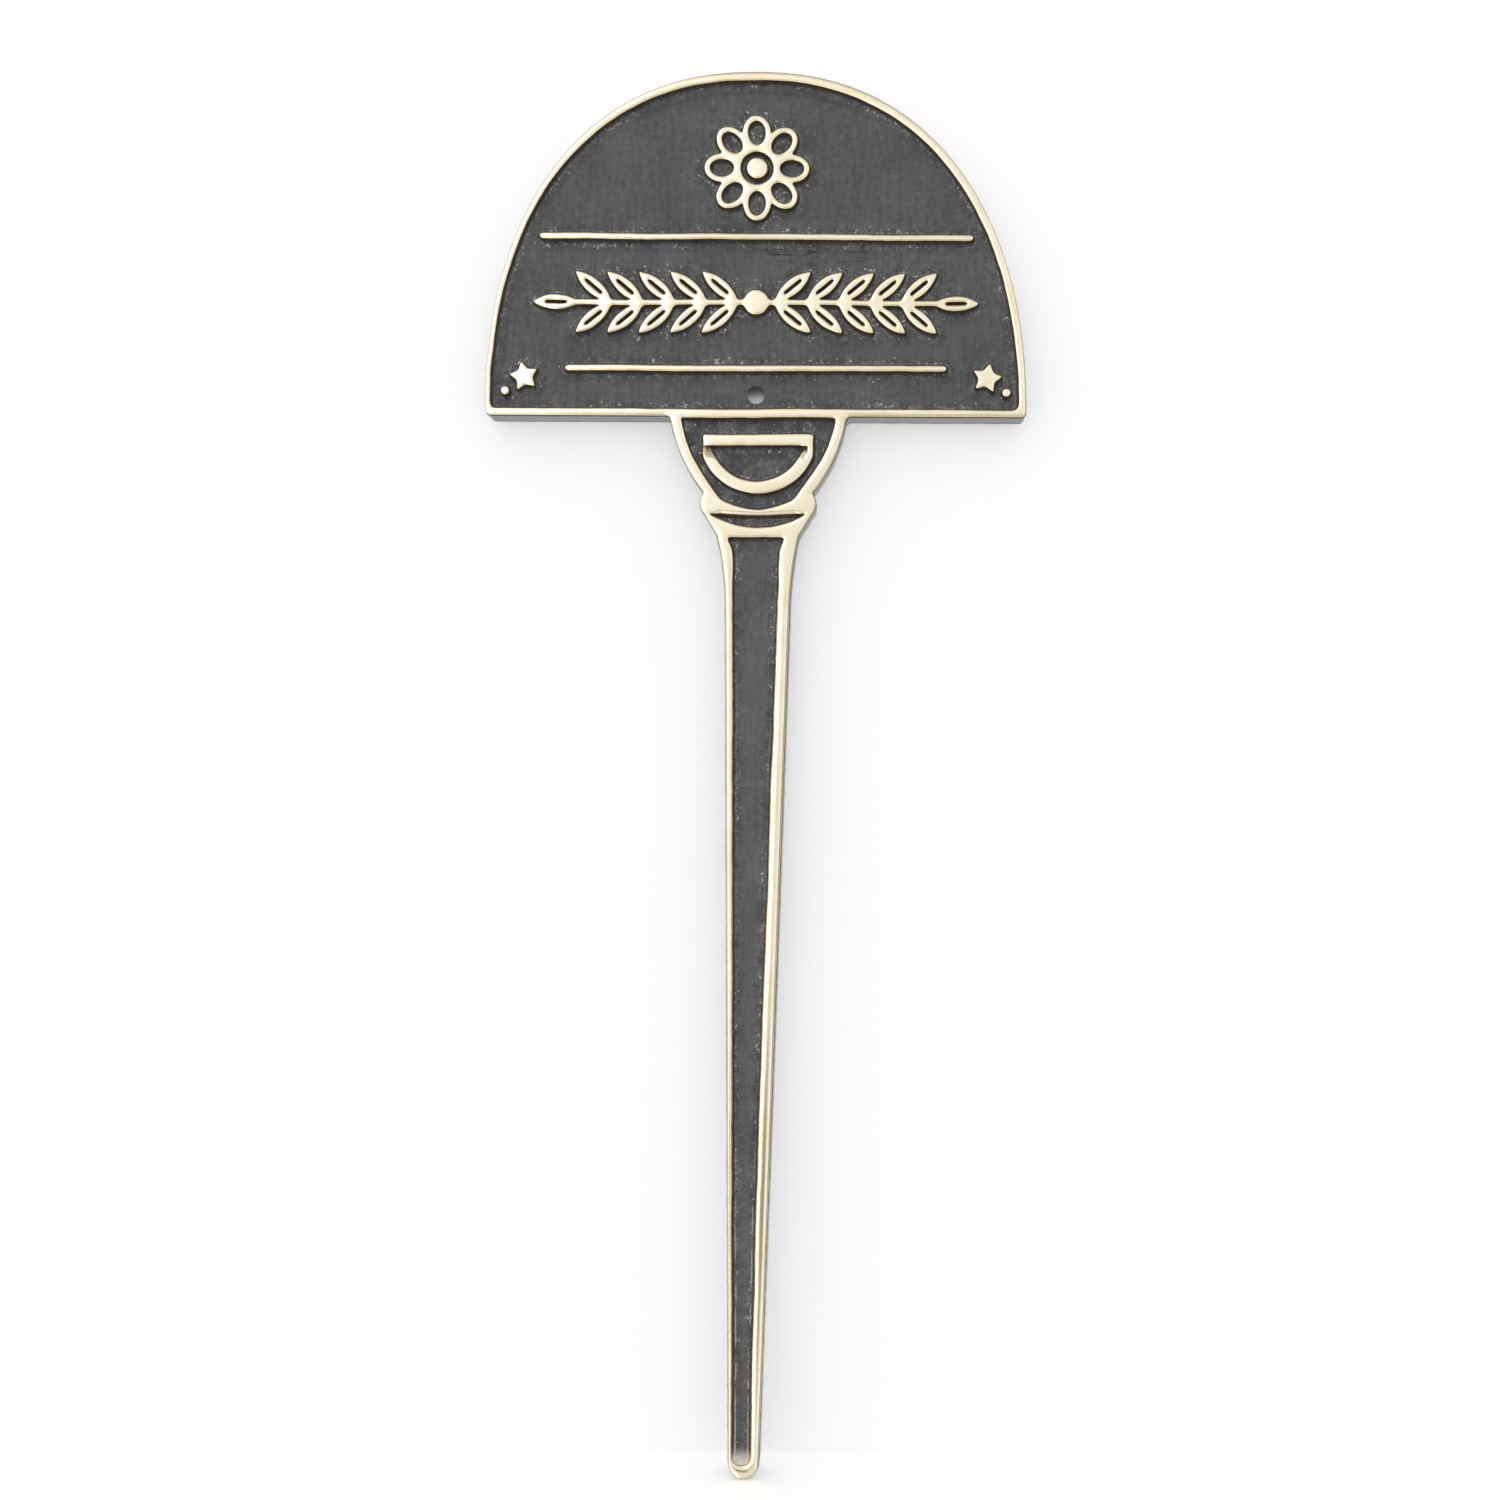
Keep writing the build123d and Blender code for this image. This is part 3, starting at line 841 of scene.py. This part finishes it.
def polishedBrass():
    material, wire, place = startMaterial("polished brass")
    cloud = place.grain(polish["cloudSize"])
    fine = place.grain(polish["fineSize"])
    drawn = place.stretched(polish["drawnStretch"], 1, 1).grain(polish["drawnSize"])
    pool, edge = wire.attribute("poolGap"), wire.attribute("edgeGap")
    # painted shade: a brown line along each recess edge and below the bar of the D
    line = 1 - (pool + (fine - 0.5) * polish["stainWaver"]).between(*polish["stainEdge"])
    line = line * place.axis("Z").between(*polish["wipedEnd"])
    # painted light: 0 on the left of the plate, where the brass is kept bright, 1 to the right
    rightward = place.axis("X").between(*polish["cleanSide"])
    # painted shade: the rounded edges by the recesses and by the outer edge turn tan; the cloud and the
    # polishing lines add real tarnish
    tarnishAndEdgeShade = (1 - pool.between(*polish["recessTarnish"])) * 0.55
    tarnishAndEdgeShade = tarnishAndEdgeShade + (1 - edge.between(*polish["outerTarnish"])) * (0.2 + rightward * 0.3)
    tarnishAndEdgeShade = tarnishAndEdgeShade + cloud.between(0.4, 0.75) * 0.28 + drawn.between(0.5, 0.8) * 0.08
    # painted light: little tarnish or edge shade on the left
    tarnishAndEdgeShade = tarnishAndEdgeShade * (0.1 + rightward * 0.9)
    pit = 1 - place.cells(polish["pitSize"], "Distance").between(0.015, 0.03)
    pit = pit * place.cells(polish["pitSize"], "Color").between(0.8, 0.82)  # only in some of the cells
    colour = tarnishAndEdgeShade.blend(polish["bright"], polish["warm"])
    # the painted shade line and the real pits turn brown
    colour = (line + pit).blend(colour, polish["stain"])
    roughness = polish["roughness"] + cloud * 0.06 + line * 0.3
    normal = wire.node("ShaderNodeBump", {}, {"Strength": 0.03, "Distance": 0.00004, "Height": drawn})
    finishMaterial(wire, {"Base Color": colour, "Metallic": 1.0, "Roughness": roughness, "Normal": normal})
    return material


enamel = {
    "deep": (0.085, 0.057, 0.034, 1),  # brown: painted shade at the foot of the walls, against the brass
    "plain": (0.052, 0.052, 0.053, 1),
    "worn": (0.122, 0.122, 0.123, 1),
    "speck": (0.4, 0.4, 0.39, 1),
    "stroke": (0.03, 0.03, 0.03, 1),
    "amber": (0.10, 0.06, 0.035, 1),  # a stain low on the stem
    "bare": (0.6, 0.57, 0.5, 1),  # rubbed through at the very end of the channel
    "rubbed": (0.38, 0.38, 0.38, 1),  # painted sheen on the sides and painted highlight in the dimple
    "roughness": 0.46,
    "specular": 0.3,
    "cloudSize": 9.0,  # grains in millimetres
    "wrinkleSize": 1.0,
    "sandSize": 0.42,
    "patchSize": 2.6,
    "speckSize": 0.6,
    "streak": (0.7, 0.12),  # size, and squash along the stake
    "brush": (0.5, 0.08),  # and across it
    "roughEdge": (-2.4, -0.7),  # millimetres into a recess
    # painted shade: dark at the foot of each wall, within these millimetres
    "corner": (-0.3, -0.12),
    # painted sheen: pale lines along the walls, at these millimetres into a recess
    "scuff": (-0.72, -0.58, -0.5, -0.38),
    "recess": (-4.9, -4.7),  # the coat counts as further in
    "strokeRows": (0.2155, 0.2165, 0.2185, 0.2195),  # metres up: dark strokes below a rule
    "strokeSpan": (0.0, 0.004, 0.018, 0.024),  # and metres across
    "cup": (0.171, 0.173, 0.187, 0.189),  # blotchy there
    "paleStem": (0.15, 0.17),
    "shinyFoot": (0.02, 0.07),
    "amberSpot": (0.012, 0.016, 0.019, 0.023),
    "scuffedFoot": (0.006, 0.018),
    "wipedEnd": (0.0028, 0.006),
    "bareEnd": (0.0029, 0.0058),
}


def blackPaint():
    material, wire, place = startMaterial("black paint")
    pool, rubbed = wire.attribute("poolGap"), wire.attribute("rubbed")
    x, height = place.axis("X"), place.axis("Z")
    cloud = place.grain(enamel["cloudSize"], 3.0)
    wrinkle = place.grain(enamel["wrinkleSize"], 3.0, 0.65)
    sand = place.grain(enamel["sandSize"], 2.0, 0.7)
    patch = place.grain(enamel["patchSize"])
    size, squash = enamel["streak"]
    streaks = place.stretched(1, 1, squash).grain(size)
    size, squash = enamel["brush"]
    strokes = place.stretched(squash, 1, 1).grain(size).between(0.52, 0.62)
    beside = pool.between(*enamel["roughEdge"])
    inRecess = pool.between(*enamel["recess"])
    foot = 1 - height.between(*enamel["shinyFoot"])
    specks = place.grain(enamel["speckSize"], 2.0, 0.7) + cloud * 0.3 + beside * 0.15
    specks = specks.between(0.88, 1.0)
    tone = cloud * 0.25 + streaks * 0.2 + wrinkle * 0.3 + sand * (0.2 + beside * 0.3)
    # painted shade: darker, in blotches, within a few millimetres of raised work
    tone = tone + beside * (patch * 0.5 - 0.42)
    tone = tone + 0.07 * (1 - height.between(*enamel["paleStem"]))
    tone = tone + height.within(*enamel["cup"]) * (patch * 0.6 + wrinkle * 0.5 - 0.6)
    colour = tone.between(0.32, 0.70).blend(enamel["plain"], enamel["worn"])
    amber = height.within(*enamel["amberSpot"]) * wrinkle.between(0.4, 0.6) * 0.6
    colour = amber.blend(colour, enamel["amber"])
    brushed = height.within(*enamel["strokeRows"]) * x.within(*enamel["strokeSpan"]) * strokes * inRecess
    colour = brushed.blend(colour, enamel["stroke"])
    # painted shade at the foot of the walls, left off at the end of the channel
    corner = pool.between(*enamel["corner"]) * height.between(*enamel["wipedEnd"])
    # painted sheen: broken pale lines along the foot of the walls, strongest at the foot of the channel
    wallSheen = streaks.between(0.45, 0.56) * (0.15 + foot * 0.85)
    wallSheen = wallSheen + (1 - height.between(*enamel["scuffedFoot"])) * 0.7
    # pale: real specks, and the painted sheen along the walls
    pale = specks * (1 - corner) + pool.within(*enamel["scuff"]) * wallSheen
    colour = pale.blend(colour, enamel["speck"])
    colour = (corner * 0.9).blend(colour, enamel["deep"])
    bare = (1 - height.between(*enamel["bareEnd"])) * (1 - corner) * inRecess
    colour = bare.blend(colour, enamel["bare"])
    # painted sheen on the sides and painted highlight in the dimple
    colour = rubbed.blend(colour, enamel["rubbed"])
    roughness = enamel["roughness"] + sand * 0.14 - foot * 0.22 - rubbed * 0.16
    bumps = (wrinkle + sand * 0.4) * (0.3 + beside * 1.3) * (1 - rubbed * 0.8) + specks * 0.5
    normal = wire.node("ShaderNodeBump", {}, {"Strength": 0.8, "Distance": 0.0003, "Height": bumps})
    finishMaterial(wire, {
        "Base Color": colour, "Roughness": roughness, "Normal": normal,
        "Specular IOR Level": enamel["specular"],
    })
    return material


brassFinish = polishedBrass()
paintFinish = blackPaint()
brassCasting.data.materials.append(brassFinish)
for piece in paintPieces.values():
    piece.data.materials.append(paintFinish)
print("finishes:", len(paintPieces) + 1, "pieces")


# Stage, light and camera

stage = {
    "floorHalf": 1.5,
    "floorGap": 0.0001,  # below the lowest point
    "backdropHalf": 0.6,
    "backdropGap": (0.006, 0.0006),  # behind the back face at the foot and at the crown
    "white": (0.96, 0.96, 0.96, 1),
    "seenWhite": (1.6, 1.6, 1.6, 1),  # what the camera sees, so that soft light alone brings it to white
    "glow": 0.3,
}


def stageCard(name, corners, material):
    mesh = bpy.data.meshes.new(name)
    mesh.from_pydata(corners, [], [(0, 1, 2, 3)])
    card = bpy.data.objects.new(name, mesh)
    card.data.materials.append(material)
    card.visible_glossy = False  # metal mirrors the room instead
    bpy.context.scene.collection.objects.link(card)


def stageWhite(name, screen):
    material, wire, _ = startMaterial(name)
    seen = wire.node("ShaderNodeLightPath", {}, {}, out="Is Camera Ray")
    matt = wire.node("ShaderNodeBsdfDiffuse", {}, {"Color": stage["white"]})
    pale = wire.node("ShaderNodeBsdfDiffuse", {}, {"Color": stage["seenWhite"]})
    glow = wire.node("ShaderNodeEmission", {}, {"Color": (1, 1, 1, 1), "Strength": stage["glow"]})
    bright = wire.node("ShaderNodeAddShader", {}, {0: pale, 1: glow})
    shader = wire.node("ShaderNodeMixShader", {}, {"Fac": seen, 1: matt, 2: bright})
    if screen:  # clear from behind and for every other ray, so that it hides nothing there
        behind = wire.node("ShaderNodeNewGeometry", {}, {}, out="Backfacing")
        clear = wire.node("ShaderNodeBsdfTransparent", {}, {})
        shader = wire.node("ShaderNodeMixShader", {}, {"Fac": seen * (1 - behind), 1: clear, 2: shader})
    wire.node("ShaderNodeOutputMaterial", {}, {"Surface": shader})
    return material


floorLevel = cadBox[0].z - stage["floorGap"]
half, wide = stage["floorHalf"], stage["backdropHalf"]
stageCard(
    "floor", [(-half, -half, floorLevel), (half, -half, floorLevel), (half, half, floorLevel),
              (-half, half, floorLevel)], stageWhite("floor white", False),
)
footGap, crownGap = stage["backdropGap"]
footPlane = cadBox[1].y + footGap
topPlane = footPlane + (crownGap - footGap) * 2 * wide / cadBox[1].z
stageCard(
    "backdrop", [(-wide, footPlane, floorLevel), (wide, footPlane, floorLevel),
                 (wide, topPlane, 2 * wide), (-wide, topPlane, 2 * wide)],
    stageWhite("backdrop white", True),
)

light = {
    "soft": (0.5, 0.4),  # light on paint, floor and backdrop, from the left and from the right
    "across": (  # brightness of the room that the metal mirrors, from left to right
        (0.0, 0.9), (0.14, 1.3), (0.36, 1.8), (0.4, 1.6), (0.43, 0.86), (0.5, 0.9), (0.55, 0.82),
        (0.66, 0.93), (0.75, 1.06), (0.84, 0.93), (0.93, 0.45), (1.0, 0.3),
    ),
    "upright": (  # and from below to above
        (0.0, 0.7), (0.15, 0.85), (0.28, 1.0), (0.44, 0.94), (0.53, 0.93), (0.66, 1.06), (0.74, 1.0),
        (0.87, 0.55), (1.0, 0.4),
    ),
    "patches": (  # in it, a window and the dark stand of the camera: across, up, their halves and colour
        (-0.25, 0.34, 0.14, 0.18, (1.9, 1.9, 1.95, 1)),
        (-0.05, -0.28, 0.36, 0.1, (0.27, 0.23, 0.14, 1)),
    ),
    "patchEdge": (0.6, 1.2),  # how they fade out
    "ahead": (-0.35, 0.1),  # the room lies before the face, up to here
    "behind": (0.05, 0.4, 0.85),  # pale behind it: from here, in full from here, and how bright
    "least": 0.1,
    "lamps": (  # name, place, size and power; all face the plate
        ("top lamp", (-0.3, -1.65, 1.66), 0.6, 40.0),
        ("back lamp", (0.5, 1.4, 1.1), 0.8, 12.0),
    ),
    "aim": (0.0, 0.0, 0.16),
}


def mirroredRoom(wire):
    direction = wire.node("ShaderNodeTexCoord", {}, {}, out="Generated")
    x, y, z = (direction.axis(name) for name in "XYZ")
    levels = []
    for key, part in (("across", x), ("upright", z)):
        stops = [(place, (level,) * 3) for place, level in light[key]]
        levels.append(wire.node("ShaderNodeValToRGB", {"stops": stops}, {"Fac": part * 0.5 + 0.5}))
    ahead = 1 - y.between(*light["ahead"])
    *behind, brightness = light["behind"]
    room = levels[0] * levels[1] * ahead + y.between(*behind) * brightness + light["least"]
    for across, up, halfWide, halfTall, colour in light["patches"]:
        aside, above = (x - across) * (1 / halfWide), (z - up) * (1 / halfTall)
        outside = (aside * aside + above * above).between(*light["patchEdge"])
        room = (ahead * (1 - outside)).blend(room, colour)
    return room


def buildLight():
    world = bpy.data.worlds.new("studio")
    world.use_nodes = True
    world.node_tree.nodes.clear()
    wire = Wire(world.node_tree)
    seen = wire.node("ShaderNodeLightPath", {}, {}, out="Is Camera Ray")
    mirrored = wire.node("ShaderNodeLightPath", {}, {}, out="Is Glossy Ray")
    direction = wire.node("ShaderNodeTexCoord", {}, {}, out="Generated")
    rightward = direction.axis("X") * 0.5 + 0.5
    soft = rightward.blend(*((level,) * 3 + (1,) for level in light["soft"]))
    colour = mirrored.blend(soft, mirroredRoom(wire))
    colour = seen.blend(colour, (1, 1, 1, 1))
    sky = wire.node("ShaderNodeBackground", {}, {"Color": colour, "Strength": 1.0})
    wire.node("ShaderNodeOutputWorld", {}, {"Surface": sky})
    bpy.context.scene.world = world
    lit = bpy.data.collections.new("lit by lamps")
    for piece in (brassCasting, *paintPieces.values()):
        lit.objects.link(piece)
    for name, place, size, power in light["lamps"]:
        lamp = bpy.data.lights.new(name, "AREA")
        lamp.size, lamp.energy = size, power
        lampObject = bpy.data.objects.new(name, lamp)
        lampObject.location = place
        lampObject.visible_glossy = False
        lampObject.light_linking.receiver_collection = lit
        aim = Vector(light["aim"]) - Vector(place)
        lampObject.rotation_euler = aim.to_track_quat("-Z", "Y").to_euler()
        bpy.context.scene.collection.objects.link(lampObject)


buildLight()

camera = {
    "place": (0.02031, -0.28012, 0.1283),  # square to the face, from the right of the stake
    "lens": 37.5,
    "sensor": 36.0,
    "nearest": 0.01,
    "shift": (-0.074, 0.0052),
    "roll": math.radians(-0.28),
}


def buildCamera():
    lens = bpy.data.cameras.new("camera")
    lens.lens, lens.sensor_width = camera["lens"], camera["sensor"]
    lens.shift_x, lens.shift_y = camera["shift"]
    lens.clip_start = camera["nearest"]
    seat = bpy.data.objects.new("camera", lens)
    seat.location = camera["place"]
    seat.rotation_euler = (math.radians(90), camera["roll"], 0)
    bpy.context.scene.collection.objects.link(seat)
    bpy.context.scene.camera = seat


buildCamera()
bpy.context.scene.view_settings.view_transform = "Standard"
print("stage, light and camera placed")
